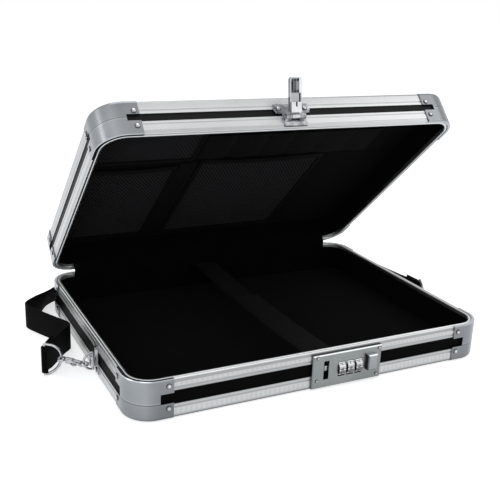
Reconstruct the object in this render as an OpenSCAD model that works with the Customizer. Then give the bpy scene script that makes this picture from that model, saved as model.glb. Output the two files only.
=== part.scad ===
// Lockable slim case with a clip on its lid: two shallow shells framed in ribbed rails,
// joined by a rear hinge, closed by a hasp and a three-wheel lock, with a shoulder strap.
// The origin is at the centre of the underside; +X runs to the right along the front, +Y to the hinge.

/* [Case] */
// Length of the case along its hinge
case_w = 365; // [340:1:390]
// Depth of the case from front to hinge
case_d = 274; // [255:1:290]
// Radius of the case's vertical corners
corner_r = 24; // [20:1:28]
// Height of the lower shell
base_h = 37; // [36:0.5:42]
// Height of the lid shell
lid_h = 33.4; // [32:0.2:40]
// Angle that the lid stands open
lid_open = 42.4; // [20:0.2:60]

/* [Frame] */
// Height of the rail along the floor panel and along the lid panel
face_rail_h = 13.2; // [12:0.2:14]
// Height of the lower shell's rail along the opening
base_rim_rail_h = 11.4; // [11:0.2:13]
// Height of the lid's rail along the opening
lid_rim_rail_h = 12.8; // [11:0.2:13]
// Thickness of the sheet-metal corner caps
cap_t = 1; // [0.8:0.1:1.2]
// Length of a corner cap along each side
cap_arm = 37; // [34:0.5:39]

/* [Lock and hasp] */
// Centre of the lock plate along the front
lock_x = 22.3; // [20:0.1:25]
// Distance of the hasp's centre from the middle of the front
hasp_x = -2; // [-2.4:0.1:-1.6]
// Angle that the hasp arm is turned up from its closed place
hasp_turn = 145; // [90:1:170]
// Travel of the push button and of the latch bolt
latch_travel = 2.8; // [2.4:0.1:2.8]

/* [Shoulder strap] */
// Width of the webbing
web_w = 26; // [24:1:27]
// Thickness of the webbing
web_t = 1.6; // [1.4:0.1:1.8]
// Place of the strap brackets along the case's short sides
bracket_y = -42; // [-60:1:-30]

/* [Hidden] */
$fn = 48;
fine = 96;
eps = 0.01;

aluminium = [0.83, 0.84, 0.85];
chrome = [0.62, 0.64, 0.67];
dark_metal = [0.45, 0.46, 0.48];
black = [0.07, 0.07, 0.08];
cloth = [0.10, 0.10, 0.11];

// Insets from the outer face of the rails
rail_t = 1.8;
wall_in = 3.6;
lining_in = 4.4;
stripe_in = 0.9;
flange_in = 12;
panel_t = 3.4;
flange_t = 1.6;
groove = 0.4;
slot_u = 3;
lip_u = 4;

// The hinge
rim_gap = 0.3;
hinge_out = 2.9;
hinge_y = case_d / 2 + hinge_out;
hinge_z = base_h + rim_gap / 2;
knuckle_r = 2.5;
hinge_pin_r = 1.4;
hinge_half = 125;
knuckle_n = 11;
knuckle_l = 2 * hinge_half / knuckle_n;

// Rivets through the caps, rails and wall
rivet_r = 1.3;
rivet_head_r = 2.6;
rivet_head_h = 1.1;
rivet_end = 32.5;
rivet_l = cap_t + wall_in;
hinge_rivet_x = [-110, -55, 0, 55, 110];
base_rim_rivet = 6.2;
base_face_rivet = 26.7;
lid_rim_rivet = 8.2;
lid_face_rivet = 22.8;
base_split = 21.8;
lid_split = 17;
hinge_rivet_u = 7.8;

// The lock
front_y = -case_d / 2;
plate_w = 73.6;
plate_z0 = 1.2;
plate_z1 = 33.7;
plate_out = 2.8;
plate_face = front_y - plate_out;
plate_t = 1.2;
case_x0 = -8;
case_x1 = 57;
case_z0 = 6.8;
case_z1 = 28.6;
case_back = front_y + 15.6;
case_t = 0.9;
lock_z = 17;
slot_x0 = -3.1;
slot_x1 = 2.3;
slot_z0 = 9.3;
slot_z1 = 27.4;
dial_x = [16, 25.1, 34.2];
dial_r = 8.6;
dial_w = 6.6;
dial_y = plate_face + 6.2;
dial_axle_r = 1.5;
button_x0 = 42.3;
button_x1 = 52.5;
button_z0 = 11.8;
button_z1 = 27;
button_out = 4.4;
bolt_y0 = front_y + 3.1;
lock_rivet_r = 1.1;
lock_rivets_at = [[-9.8, 31.6], [-9.8, 9], [55.9, 31.3], [54.5, 5.2]];

// The hasp, in the lid's own frame
hasp_pin_y = front_y - 3.6;
hasp_pin_u = 10;
hasp_knuckle_r = 2.2;
hasp_pin_r = 1.1;
hasp_reach = 34.5;
staple_x = -1;
staple_z = 19.3;
staple_reach = hasp_pin_u + base_h + rim_gap - staple_z;

// The clip on the lid's outside, in the lid's own frame
clip_x = -158;
clip_half = 52;
clip_pin_up = 5.6;
clip_pin_r = 1.5;

// Soft parts
document_z = 32.6;
document_sag = 4;
document_t = 1.4;

// The shoulder strap's hardware
side_x = case_w / 2;
ring_wire = 1.1;
ring_axis = side_x + 4.4;
ring_z = 16.5;
ring_r = 8.2;
hook_z = 14.5;
hook_len = 23.6;
nose_r = 3.9;
nose_wire = 1.1;
eye_r = 3.9;
d_wire = 1.3;
d_half = web_w / 2 + 0.5 + d_wire;
d_z = d_half + d_wire + 0.1;
loop_r = d_wire + 0.1 + web_t;
bar_from_eye = d_half;

// Directions on the floor, in degrees from +X: ring to eye, then eye to the D-ring's bar
left_hook_turn = 132;
left_d_turn = 176;
right_hook_turn = 75;
right_d_turn = 72;

function heading(a) = [cos(a), sin(a)];
left_eye = [-ring_axis - ring_r, bracket_y] + hook_len * heading(left_hook_turn);
right_eye = [ring_axis + ring_r, bracket_y] + hook_len * heading(right_hook_turn);
left_bar = left_eye + bar_from_eye * heading(left_d_turn);
right_bar = right_eye + bar_from_eye * heading(right_d_turn);
left_start = left_bar + (loop_r + 0.05) * heading(57);
right_end = right_bar + (loop_r + 0.05) * heading(92);

// Route of the webbing, standing on its edge: x, y, height of the lower edge, outward lean in degrees
strap_route = [
    [left_start[0], left_start[1], d_z - web_w / 2, 0],
    [-217, -12.5, 2, 0], [-208, 1, 1, 0], [-199, 14, 0.4, 0], [-192.5, 21, 0.2, 0], [-190.6, 26, 0.2, 0],
    [-193, 34, 0.2, 0], [-203, 53, 0.2, 0], [-214.5, 76, 0.2, 0], [-218.6, 87, 0.2, 0], [-217, 95, 0.2, 0],
    [-207, 107, 0.2, 6], [-194, 121, 0.2, 18], [-183, 136, 0.2, 26], [-167, 149, 0.2, 18],
    [-144, 154, 0.2, 6],
    // behind the case the spare length lies to and fro in three lanes
    [-105, 156, 0.2, 0], [-45, 156, 0.2, 0], [25, 156, 0.2, 0], [76, 156, 0.2, 0], [95, 157, 0.2, 0],
    [101, 161.5, 0.2, 0], [95, 166, 0.2, 0], [76, 167, 0.2, 0], [10, 167, 0.2, 0], [-50, 167, 0.2, 0],
    [-90, 167, 0.2, 0], [-109, 168, 0.2, 0], [-115, 172.5, 0.2, 0], [-109, 177, 0.2, 0], [-90, 178, 0.2, 0],
    [-20, 178, 0.2, 0], [50, 178, 0.2, 0], [95, 176, 0.2, 0], [121, 167, 0.2, 0], [146, 157, 0.2, 0],
    [170, 147, 0.2, 0], [187, 129, 0.2, 0], [196, 98, 0.2, 0], [201, 55, 0.2, 0], [204, 18, 1.2, 0],
    [right_end[0], right_end[1], d_z - web_w / 2, 0]
];

// ---------------------------------------------------------------- frames

// Turns the shells' own frame, u measured from the rim towards the panel, into the lower shell's place
module in_base() { translate([0, 0, base_h]) mirror([0, 0, 1]) children(); }

// Carries what is drawn for the closed lid, u above its rim, to the open lid
module in_lid() {
    translate([0, hinge_y, hinge_z]) rotate([-lid_open, 0, 0])
        translate([0, -hinge_y, rim_gap / 2]) children();
}

// ---------------------------------------------------------------- shell parts

// Plan of the case, drawn in from its outer face
module plan(inset) {
    w = case_w - 2 * inset;
    d = case_d - 2 * inset;
    r = corner_r - inset;
    square([w - 2 * r, d], center = true);
    square([w, d - 2 * r], center = true);
    for (x = [-1, 1], y = [-1, 1]) translate([x * (w / 2 - r), y * (d / 2 - r)]) circle(r, $fn = fine);
}

// Upright band round the case between two heights and two insets
module band(u0, u1, outer, inner) {
    translate([0, 0, u0]) linear_extrude(u1 - u0) difference() { plan(outer); plan(inner); }
}

// Sweeps a section, as inset and height, along one quarter bend of the case
module bend(section) {
    rotate([0, 0, 180]) rotate_extrude(angle = 90, $fn = fine)
        polygon([for (p = section) [corner_r - p[0], p[1]]]);
}

// Sweeps a section straight along +X, standing on the front face of a bend
module straight(section, length) {
    translate([0, -corner_r, 0]) rotate([90, 0, 90]) linear_extrude(length) polygon(section);
}

// Sweeps a section all round the case
module around(section) {
    for (k = [0:3]) {
        length = (k % 2 == 0 ? case_w : case_d) - 2 * corner_r;
        depth = k % 2 == 0 ? case_d : case_w;
        rotate([0, 0, 90 * k]) translate([-length / 2, corner_r - depth / 2, 0]) {
            bend(section);
            straight(section, length);
        }
    }
}

// Repeats a front-left corner piece at every corner
module at_corners() {
    for (k = [0:3]) {
        length = (k % 2 == 0 ? case_w : case_d) - 2 * corner_r;
        depth = k % 2 == 0 ? case_d : case_w;
        rotate([0, 0, 90 * k]) translate([-length / 2, corner_r - depth / 2, 0]) children();
    }
}

// Fine saw cuts that part the rail frame into four lengths under the caps
module mitre_cuts() {
    at_corners() rotate([0, 0, 225]) translate([0, -0.1, -5]) cube([60, 0.2, 60]);
}

// Points of a shallow groove in an outer face at height c, walked upwards or downwards
function groove_at(c, s) = [[0, c - 0.8 * s], [groove, c - 0.5 * s], [groove, c + 0.5 * s], [0, c + 0.8 * s]];

// Edge rail of a panel: grooved outside, rounded at the foot, with a flange over the panel
function face_section(h) = concat(
    [[rail_t, h - face_rail_h], [0, h - face_rail_h]],
    groove_at(h - face_rail_h + 3, 1),
    [[0, h - 2.6], [0.5, h - 1.2], [1.3, h - 0.4], [2.6, h], [flange_in, h], [flange_in, h - flange_t],
     [rail_t, h - flange_t]]);

// Rail along the opening: a step and two beads outside, and a lip over the wall
function rim_section(rail_h) = concat(
    [[rail_t, rail_h], [0, rail_h]],
    groove_at(rail_h - 2.8, -1),
    [[0, 4.4], [0.35, 4.1], [0.35, 1.2], [0.6, 0.6], [1.1, 0.4], [1.7, 0.5], [2, 1.2], [2.6, 1.2], [2.9, 0.6],
     [3.4, 0.15], [4.1, 0.1], [4.9, 0.5], [5.6, 1.6], [5.8, lip_u], [4.7, lip_u], [4.7, slot_u],
     [rail_t, slot_u]]);

// Cap sections: a thin skin over the rails, with a small lip on the rail's step
function cap_section(u0, u1) = [[-cap_t, u0], [-cap_t, u1], [-eps, u1], [-eps, u0]];
function rim_cap_section(u1) = [[-cap_t, 0.7], [-0.5, 0], [1.9, 0], [1.9, 0.38], [-eps, 0.38], [-eps, u1],
    [-cap_t, u1]];
function face_cap_section(u0, h) = [[-cap_t, u0], [-cap_t, h - 2.9], [-0.5, h - 1.3], [0.6, h - 0.3],
    [1.6, h], [2.5, h], [1.26, h - 0.37], [0.46, h - 1.17], [-eps, h - 2.55], [-eps, u0]];

module cap(bend_section, arm_section) {
    arm = cap_arm - corner_r;
    bend(bend_section);
    straight(bend_section, 1.2);
    straight(arm_section, arm);
    mirror([1, -1, 0]) {
        straight(bend_section, 1.2);
        straight(arm_section, arm);
    }
}

// Places a part that points along +X at every cap rivet of a shell
module at_cap_rivets(u) {
    at_corners() for (flip = [0, 1]) mirror([flip, -flip, 0])
        translate([rivet_end - corner_r, -corner_r - cap_t, u]) rotate([0, 0, -90]) children();
}

module rivet_hole() {
    translate([-rivet_l - 1, 0, 0]) rotate([0, 90, 0]) cylinder(r = rivet_r, h = rivet_l + 2);
}

module rivet() {
    rotate([0, 90, 0]) rotate_extrude() polygon([[0, -rivet_l], [rivet_r, -rivet_l], [rivet_r, 0],
        [rivet_head_r, 0], [rivet_head_r, 0.3], [rivet_head_r * 0.88, 0.62], [rivet_head_r * 0.6, 0.93],
        [rivet_head_r * 0.3, rivet_head_h - 0.03], [0, rivet_head_h]]);
}

// Rivets of the rear hinge leaf
module at_hinge_rivets() {
    for (x = hinge_rivet_x) translate([x, case_d / 2 + cap_t, hinge_rivet_u]) rotate([0, 0, 90]) children();
}

// Rivets of the two strap brackets
module at_bracket_rivets() {
    for (s = [-1, 1], u = [base_h - 30, base_h - 7.5])
        translate([s * (side_x + cap_t), bracket_y, u]) rotate([0, 0, s < 0 ? 180 : 0]) children();
}

// Rivets of the hasp bracket
module at_hasp_rivets() {
    for (s = [-1, 1]) translate([hasp_x + 13.5 * s, front_y - cap_t, 20]) rotate([0, 0, -90]) children();
}

module base_rivet_places() {
    at_cap_rivets(base_rim_rivet) children();
    at_cap_rivets(base_face_rivet) children();
    at_hinge_rivets() children();
    at_bracket_rivets() children();
}

module lid_rivet_places() {
    at_cap_rivets(lid_rim_rivet) children();
    at_cap_rivets(lid_face_rivet) children();
    at_hinge_rivets() children();
    at_hasp_rivets() children();
}

// Opening for the lock case through the front rails, wall and lining
module lock_cut() {
    translate([case_x0 - 0.1, front_y - 5, base_h - case_z1 - 0.1])
        cube([case_x1 - case_x0 + 0.2, 12, case_z1 - case_z0 + 0.2]);
}

// Holes for the lock plate's rivets
module lock_rivet_holes() {
    for (p = lock_rivets_at) translate([p[0], front_y - 5, base_h - p[1]]) rotate([-90, 0, 0])
        cylinder(r = lock_rivet_r, h = 12);
}

module shell_panel(h) {
    translate([0, 0, h - flange_t]) linear_extrude(flange_t) plan(flange_in + 0.1);
    translate([0, 0, h - panel_t]) linear_extrude(panel_t - flange_t) plan(rail_t + 0.1);
}

module shell_wall(h, rim_rail_h) {
    band(slot_u, h - panel_t, rail_t, wall_in);
    band(rim_rail_h + 0.05, h - face_rail_h - 0.05, stripe_in, rail_t + eps);
}

module shell_lining(h) {
    band(slot_u + 0.2, h - panel_t, wall_in, lining_in);
    translate([0, 0, h - panel_t - 0.8]) linear_extrude(0.8) plan(wall_in);
}

module base_panel() { color(black) in_base() shell_panel(base_h); }
module lid_panel() { color(black) in_lid() shell_panel(lid_h); }

module base_wall() {
    color(black) in_base() difference() {
        shell_wall(base_h, base_rim_rail_h);
        base_rivet_places() rivet_hole();
        lock_cut();
        lock_rivet_holes();
    }
}

module lid_wall() {
    color(black) in_lid() difference() {
        shell_wall(lid_h, lid_rim_rail_h);
        lid_rivet_places() rivet_hole();
    }
}

// The lining swells over the lock case behind the front wall
module base_lining() {
    x0 = case_x0 - 0.1;
    x1 = case_x1 + 0.1;
    u0 = base_h - case_z1 - 0.1;
    u1 = base_h - case_z0 + 0.1;
    y1 = case_back + 0.1;
    color(cloth) in_base() difference() {
        union() {
            shell_lining(base_h);
            translate([x0 - 0.8, front_y + wall_in, u0 - 0.8])
                cube([x1 - x0 + 1.6, y1 + 0.8 - front_y - wall_in, u1 - u0 + 1.6]);
        }
        translate([x0, front_y, u0]) cube([x1 - x0, y1 - front_y, u1 - u0]);
    }
}

module lid_lining() { color(cloth) in_lid() shell_lining(lid_h); }

module base_face_rails() {
    color(aluminium) in_base() difference() {
        around(face_section(base_h));
        mitre_cuts();
        base_rivet_places() rivet_hole();
        lock_cut();
        lock_rivet_holes();
    }
}

module base_rim_rails() {
    color(aluminium) in_base() difference() {
        around(rim_section(base_rim_rail_h));
        mitre_cuts();
        base_rivet_places() rivet_hole();
        lock_cut();
        lock_rivet_holes();
    }
}

module lid_face_rails() {
    color(aluminium) in_lid() difference() {
        around(face_section(lid_h));
        mitre_cuts();
        lid_rivet_places() rivet_hole();
    }
}

module lid_rim_rails() {
    color(aluminium) in_lid() difference() {
        around(rim_section(lid_rim_rail_h));
        mitre_cuts();
        lid_rivet_places() rivet_hole();
    }
}

module base_face_corners() {
    color(chrome) in_base() difference() {
        at_corners()
            cap(face_cap_section(base_split, base_h), face_cap_section(base_split + 0.1, base_h));
        base_rivet_places() rivet_hole();
    }
}

module base_rim_corners() {
    color(chrome) in_base() difference() {
        at_corners() cap(rim_cap_section(base_split - 0.1), rim_cap_section(base_rim_rail_h + 1.5));
        base_rivet_places() rivet_hole();
    }
}

module lid_face_corners() {
    color(chrome) in_lid() difference() {
        at_corners()
            cap(face_cap_section(lid_split, lid_h), face_cap_section(lid_h - face_rail_h - 0.6, lid_h));
        lid_rivet_places() rivet_hole();
    }
}

module lid_rim_corners() {
    color(chrome) in_lid() difference() {
        at_corners() cap(rim_cap_section(lid_split - 0.1), rim_cap_section(lid_rim_rail_h + 0.6));
        lid_rivet_places() rivet_hole();
    }
}

module base_rivets() { color(chrome) in_base() base_rivet_places() rivet(); }
module lid_rivets() { color(chrome) in_lid() lid_rivet_places() rivet(); }

// ---------------------------------------------------------------- hinge

// A leaf on the rear face with every second knuckle, drawn for the closed lid's side
module hinge_leaf(first) {
    difference() {
        union() {
            translate([-hinge_half, case_d / 2 + 0.02, 3.2]) cube([2 * hinge_half, cap_t - 0.02, 8.6]);
            for (i = [first:2:knuckle_n - 1]) translate([-hinge_half + i * knuckle_l + 0.15, 0, 0]) {
                translate([0, hinge_y, -rim_gap / 2]) rotate([0, 90, 0])
                    cylinder(r = knuckle_r, h = knuckle_l - 0.3, $fn = fine);
                translate([0, case_d / 2 + 0.5, 0.2]) cube([knuckle_l - 0.3, 0.9, 3.4]);
            }
        }
        translate([-hinge_half - 1, hinge_y, -rim_gap / 2]) rotate([0, 90, 0])
            cylinder(r = hinge_pin_r + (first == 0 ? 0 : 0.06), h = 2 * hinge_half + 2, $fn = fine);
        at_hinge_rivets() rivet_hole();
    }
}

module hinge_base_leaf() { color(aluminium) translate([0, 0, base_h]) mirror([0, 0, 1]) hinge_leaf(0); }
module hinge_lid_leaf() { color(aluminium) in_lid() hinge_leaf(1); }

module hinge_pin() {
    color(dark_metal) translate([-hinge_half - 0.6, hinge_y, hinge_z]) rotate([0, 90, 0])
        cylinder(r = hinge_pin_r, h = 2 * hinge_half + 1.2, $fn = fine);
}

// Cloth strip that stands in front of the hinge, with its foot behind the lower shell's lip
module hinge_cover() {
    back = case_d / 2 - 5.85;
    foot = case_d / 2 - lining_in - 0.02;
    color(cloth) translate([-157, 0, 0]) rotate([90, 0, 90]) linear_extrude(314)
        polygon([[back - 1, 31.6], [foot, 31.6], [foot, 32.9], [back, 32.9], [back, 44], [back - 1, 44]]);
}

// ---------------------------------------------------------------- lock

// Raised plate with its edges turned back to the case
module lock_plate() {
    x0 = lock_x - plate_w / 2;
    color(chrome) difference() {
        translate([x0, plate_face, plate_z0]) cube([plate_w, plate_out - 0.02, plate_z1 - plate_z0]);
        // hollow behind the face, leaving pads under the rivets
        difference() {
            translate([x0 + plate_t, plate_face + plate_t, plate_z0 + plate_t])
                cube([plate_w - 2 * plate_t, plate_out, plate_z1 - plate_z0 - 2 * plate_t]);
            for (p = lock_rivets_at) translate([p[0], plate_face - 1, p[1]]) rotate([-90, 0, 0])
                cylinder(r = 1.5, h = 6);
        }
        // bevels along the four front edges
        for (s = [0, 1]) {
            translate([x0 + s * plate_w, plate_face, 0]) rotate([0, 0, 45])
                cube([1.3, 1.3, 120], center = true);
            translate([0, plate_face, s == 0 ? plate_z0 : plate_z1]) rotate([45, 0, 0])
                cube([200, 1.3, 1.3], center = true);
        }
        // hasp slot, dial windows and button window
        translate([slot_x0, plate_face - 1, slot_z0]) cube([slot_x1 - slot_x0, 5, slot_z1 - slot_z0]);
        for (x = dial_x) translate([x - 3.7, plate_face - 1, lock_z - 7.2]) cube([7.4, 5, 14.4]);
        translate([button_x0 - 0.2, plate_face - 1, button_z0 - 0.2])
            cube([button_x1 - button_x0 + 0.4, 5, button_z1 - button_z0 + 0.4]);
        for (p = lock_rivets_at) translate([p[0], plate_face - 1, p[1]]) rotate([-90, 0, 0])
            cylinder(r = lock_rivet_r, h = 8);
    }
}

module lock_rivets() {
    shank = plate_out + wall_in;
    color(chrome) for (p = lock_rivets_at) translate([p[0], plate_face, p[1]]) rotate([90, 0, 0])
        rotate_extrude() polygon([[0, -shank], [lock_rivet_r, -shank], [lock_rivet_r, 0], [1.7, 0],
            [1.7, 0.25], [1.35, 0.7], [0.65, 0.95], [0, 1]]);
}

// Tray behind the plate with two walls that carry the dials' axle
module lock_case() {
    y0 = plate_face + plate_t;
    color(dark_metal) difference() {
        union() {
            difference() {
                translate([case_x0, y0, case_z0])
                    cube([case_x1 - case_x0, case_back - y0, case_z1 - case_z0]);
                translate([case_x0 + case_t, y0 - 1, case_z0 + case_t])
                    cube([case_x1 - case_x0 - 2 * case_t, case_back - y0 + 1 - case_t,
                        case_z1 - case_z0 - 2 * case_t]);
            }
            for (x = [10.6, 38.4]) translate([x, y0 + 0.6, case_z0 + case_t - eps])
                cube([1.2, case_back - y0 - 0.6 - case_t + eps, 18.2]);
        }
        translate([0, dial_y, lock_z]) rotate([0, 90, 0]) cylinder(r = dial_axle_r, h = 45);
    }
}

module dial_axle() {
    color(dark_metal) translate([10.1, dial_y, lock_z]) rotate([0, 90, 0]) cylinder(r = dial_axle_r, h = 30);
}

// Number wheel with ten finger notches
module dial(x) {
    color(dark_metal) translate([x - dial_w / 2, dial_y, lock_z]) rotate([0, 90, 0]) difference() {
        cylinder(r = dial_r, h = dial_w, $fn = fine);
        translate([0, 0, -1]) cylinder(r = dial_axle_r + 0.06, h = dial_w + 2);
        for (k = [0:9]) rotate([0, 0, 18 + 36 * k]) translate([dial_r + 0.35, 0, -1])
            cylinder(r = 0.9, h = dial_w + 2);
    }
}
module dial_1() { dial(dial_x[0]); }
module dial_2() { dial(dial_x[1]); }
module dial_3() { dial(dial_x[2]); }

// Push button: its head stands out of the plate and its wedge drives the bolt sideways
module latch_button() {
    y_out = plate_face - button_out;
    y_in = front_y;
    color(chrome) difference() {
        union() {
            translate([button_x0, y_out, button_z0]) cube([button_x1 - button_x0, y_in - y_out,
                button_z1 - button_z0]);
            // stop behind the plate
            translate([button_x0 - 1.3, plate_face + plate_t + 0.1, 12]) cube([1.4, 1.6, 10]);
            // wedge
            translate([0, 0, 20.5]) linear_extrude(5) polygon([[43.2, y_in - eps], [51.2, y_in - eps],
                [51.2, y_in + 0.6], [46.4, y_in + 5.4], [43.2, y_in + 5.4]]);
        }
        // bevels round the head
        for (s = [0, 1]) {
            translate([s == 0 ? button_x0 : button_x1, y_out, 0]) rotate([0, 0, 45])
                cube([1.2, 1.2, 120], center = true);
            translate([0, y_out, s == 0 ? button_z0 : button_z1]) rotate([45, 0, 0])
                cube([200, 1.2, 1.2], center = true);
        }
    }
}

// Sliding bolt: a strap over the dials, a follower at the button and a tooth at the hasp slot
module latch_bolt() {
    y0 = bolt_y0;
    tooth_y = plate_face + plate_t + 0.8;
    color(aluminium) {
        translate([2.8, y0, 26.4]) cube([49.1, 5.6, 1.1]);
        translate([2.8, tooth_y, 13.5]) cube([2.6, y0 + 5.6 - tooth_y, 14]);
        translate([-1.2, tooth_y, 17]) cube([4.2, 2.4, 4.5]);
        // follower, its face parallel to the wedge's
        translate([0, 0, 20.5]) linear_extrude(6) polygon([[51.9, front_y + 3.1], [51.9, front_y + 8.7],
            [47.1, front_y + 8.7], [47.1, front_y + 5.2], [49.2, front_y + 3.1]]);
    }
}

// Leaf spring behind the button
module latch_spring() {
    y1 = case_back - case_t;
    color(aluminium) {
        translate([41.6, y1 - 0.5, 10]) cube([12, 0.5, 8]);
        translate([41.6, y1 - 3.2, 10]) cube([0.5, 2.8, 8]);
        translate([41.6, y1 - 3.2, 10]) cube([9, 0.5, 8]);
    }
}

// ---------------------------------------------------------------- hasp

module hasp_knuckle(x0, x1) {
    translate([x0, hasp_pin_y, hasp_pin_u]) rotate([0, 90, 0])
        cylinder(r = hasp_knuckle_r, h = x1 - x0, $fn = fine);
}

module hasp_pin_bore(extra) {
    translate([hasp_x - 12, hasp_pin_y, hasp_pin_u]) rotate([0, 90, 0])
        cylinder(r = hasp_pin_r + extra, h = 24, $fn = fine);
}

// Bracket with two riveted ears and two knuckles
module hasp_bracket() {
    color(chrome) in_lid() difference() {
        union() {
            translate([hasp_x - 17.5, front_y - cap_t, 15.2]) cube([35, cap_t - 0.02, 9.6]);
            translate([hasp_x - 11.5, front_y - cap_t, 2]) cube([23, cap_t - 0.02, 13.3]);
            for (s = [-1, 1]) {
                translate([hasp_x + s * 13.5, front_y - cap_t, 20]) rotate([-90, 0, 0])
                    cylinder(r = 5.2, h = cap_t - 0.02);
                hasp_knuckle(hasp_x + s * 7.2 - 2.8, hasp_x + s * 7.2 + 2.8);
                translate([hasp_x + s * 7.2 - 2.8, hasp_pin_y, hasp_pin_u - 2.2])
                    cube([5.6, front_y - hasp_pin_y - 0.1, 4.4]);
            }
        }
        hasp_pin_bore(0);
        at_hasp_rivets() rivet_hole();
        // cut back to the rail face where the ears overlap nothing
        translate([hasp_x - 30, front_y - 0.02, 0]) cube([60, 5, 30]);
    }
}

module hasp_pin() {
    color(dark_metal) in_lid() translate([hasp_x - 10.6, hasp_pin_y, hasp_pin_u]) rotate([0, 90, 0])
        cylinder(r = hasp_pin_r, h = 21.2, $fn = fine);
}

// Outline of the arm above its tip, drawn in from its edge, with the two tip corners rounded
module hasp_outline(inset, top) {
    translate([inset - 6, 3]) square([12 - 2 * inset, top - 3]);
    translate([-3, inset]) square([6, 4]);
    for (s = [-1, 1]) translate([3 * s, 3]) circle(3 - inset);
}

// Shallow channel with its edges turned to the case, a block by the pin and the staple that enters the lock,
// drawn hanging down closed
module hasp_arm_closed() {
    tip = hasp_pin_u - hasp_reach;
    top = hasp_reach - 5;
    staple_u = hasp_pin_u - staple_reach;
    difference() {
        union() {
            hasp_knuckle(hasp_x - 4.1, hasp_x + 4.1);
            translate([hasp_x - 4.1, front_y - 5.8, hasp_pin_u - 8]) cube([8.2, 1.4, 8]);
            difference() {
                translate([hasp_x, front_y - 3, tip]) rotate([90, 0, 0]) linear_extrude(3.6)
                    hasp_outline(0, top);
                translate([hasp_x, front_y - 2, tip]) rotate([90, 0, 0]) linear_extrude(2.5)
                    hasp_outline(1.2, top + 1);
            }
            // staple
            translate([staple_x - 1.1, front_y - 5.6, staple_u - 5.1]) cube([2.2, 8.7, 12.5]);
            // block by the pin, split along its middle
            for (s = [-1, 1]) translate([hasp_x + s * 3 - 2.2, front_y - 5, -2.6]) cube([4.4, 3.5, 4.2]);
            translate([hasp_x - 5.2, front_y - 5, 1.4]) cube([10.4, 3.5, 5]);
        }
        hasp_pin_bore(0.06);
        translate([hasp_x - 3, front_y - 3.3, staple_u - 2.7]) cube([6, 5, 7.6]);
    }
}

module hasp_arm() {
    color(chrome) in_lid() translate([0, hasp_pin_y, hasp_pin_u]) rotate([-hasp_turn, 0, 0])
        translate([0, -hasp_pin_y, -hasp_pin_u]) hasp_arm_closed();
}

// ---------------------------------------------------------------- clip on the lid

module clip_base() {
    u = lid_h + 0.02;
    color(chrome) in_lid() difference() {
        union() {
            translate([clip_x - 12, -clip_half, u]) cube([30, 2 * clip_half, 1.2]);
            for (s = [-1, 1]) {
                translate([clip_x - 4, s * 30 - 0.8, u]) cube([8, 1.6, clip_pin_up]);
                translate([clip_x, s * 30 - 0.8, u + clip_pin_up]) rotate([-90, 0, 0])
                    cylinder(r = 4, h = 1.6);
            }
        }
        translate([clip_x, -40, u + clip_pin_up]) rotate([-90, 0, 0]) cylinder(r = clip_pin_r, h = 80);
    }
}

module clip_pin() {
    color(dark_metal) in_lid() translate([clip_x, -33, lid_h + 0.02 + clip_pin_up]) rotate([-90, 0, 0])
        cylinder(r = clip_pin_r, h = 66);
}

// Coils round the pin between the ears
module clip_spring() {
    color(aluminium) in_lid() translate([clip_x, 0, lid_h + 0.02 + clip_pin_up]) rotate([-90, 0, 0])
        rotate_extrude() for (k = [-8:8]) translate([2.25, 1.1 * k]) circle(0.6, $fn = 16);
}

// Lever: a handle behind the pin and a long jaw that bears on the lid
module clip_lever() {
    u = lid_h + 0.02 + clip_pin_up;
    color(chrome) in_lid() translate([clip_x, 0, u]) difference() {
        union() {
            for (s = [-1, 1]) translate([0, s * 26 - 0.8, 0]) rotate([-90, 0, 0]) cylinder(r = 3.4, h = 1.6);
            for (s = [-1, 1]) translate([0, s * 26 - 0.8, 0]) cube([12, 1.6, 3.4]);
            rotate([90, 0, 0]) translate([0, 0, -clip_half]) linear_extrude(2 * clip_half) polygon([
                [-15, 6.6], [-4, 4.8], [10, 3.4], [20.6, -3], [21.4, -5.5], [22.8, -5.5], [22.4, -2.4],
                [11, 4.7], [-3.8, 6.2], [-15, 8]]);
        }
        translate([0, -40, 0]) rotate([-90, 0, 0]) cylinder(r = clip_pin_r + 0.06, h = 80);
    }
}

// ---------------------------------------------------------------- straps, pockets and loops inside

function sag_z(y) = document_z - document_sag * (1 - pow(y / (case_d / 2 - lining_in), 2));

module document_half(x0, x1, y0, y1, lift) {
    steps = 12;
    color(cloth) translate([x0, 0, 0]) rotate([90, 0, 90]) linear_extrude(x1 - x0) polygon(concat(
        [for (i = [0:steps]) let (y = y0 + (y1 - y0) * i / steps) [y, sag_z(y) + lift]],
        [for (i = [steps:-1:0]) let (y = y0 + (y1 - y0) * i / steps) [y, sag_z(y) + lift - document_t]]));
}
module document_strap_front() { document_half(-17, 13, -case_d / 2 + lining_in, 25, 0); }
module document_strap_rear() { document_half(-16, 10, -22, case_d / 2 - lining_in, -document_t - 0.02); }

// Flat bag of net on the lid's lining: x range, and distances from the hinge
module net_pocket(x0, x1, v0, v1) {
    u1 = lid_h - panel_t - 0.82;
    color(cloth) in_lid() translate([x0, hinge_y - v1, u1 - 2]) cube([x1 - x0, v1 - v0, 2]);
}
module pocket_upper() { net_pocket(-166, -66, 182, 262); }
module pocket_lower() { net_pocket(-168, -78, 22, 168); }
module pocket_large() { net_pocket(-54, 84, 20, 178); }

// Elastic band stitched down between its loops
module pen_loops() {
    u1 = lid_h - panel_t - 0.82;
    color(cloth) in_lid() for (x = [-40:34:130]) translate([x, hinge_y - 246, u1 - 1]) cube([10, 50, 1]);
}

// ---------------------------------------------------------------- shoulder strap hardware

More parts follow.
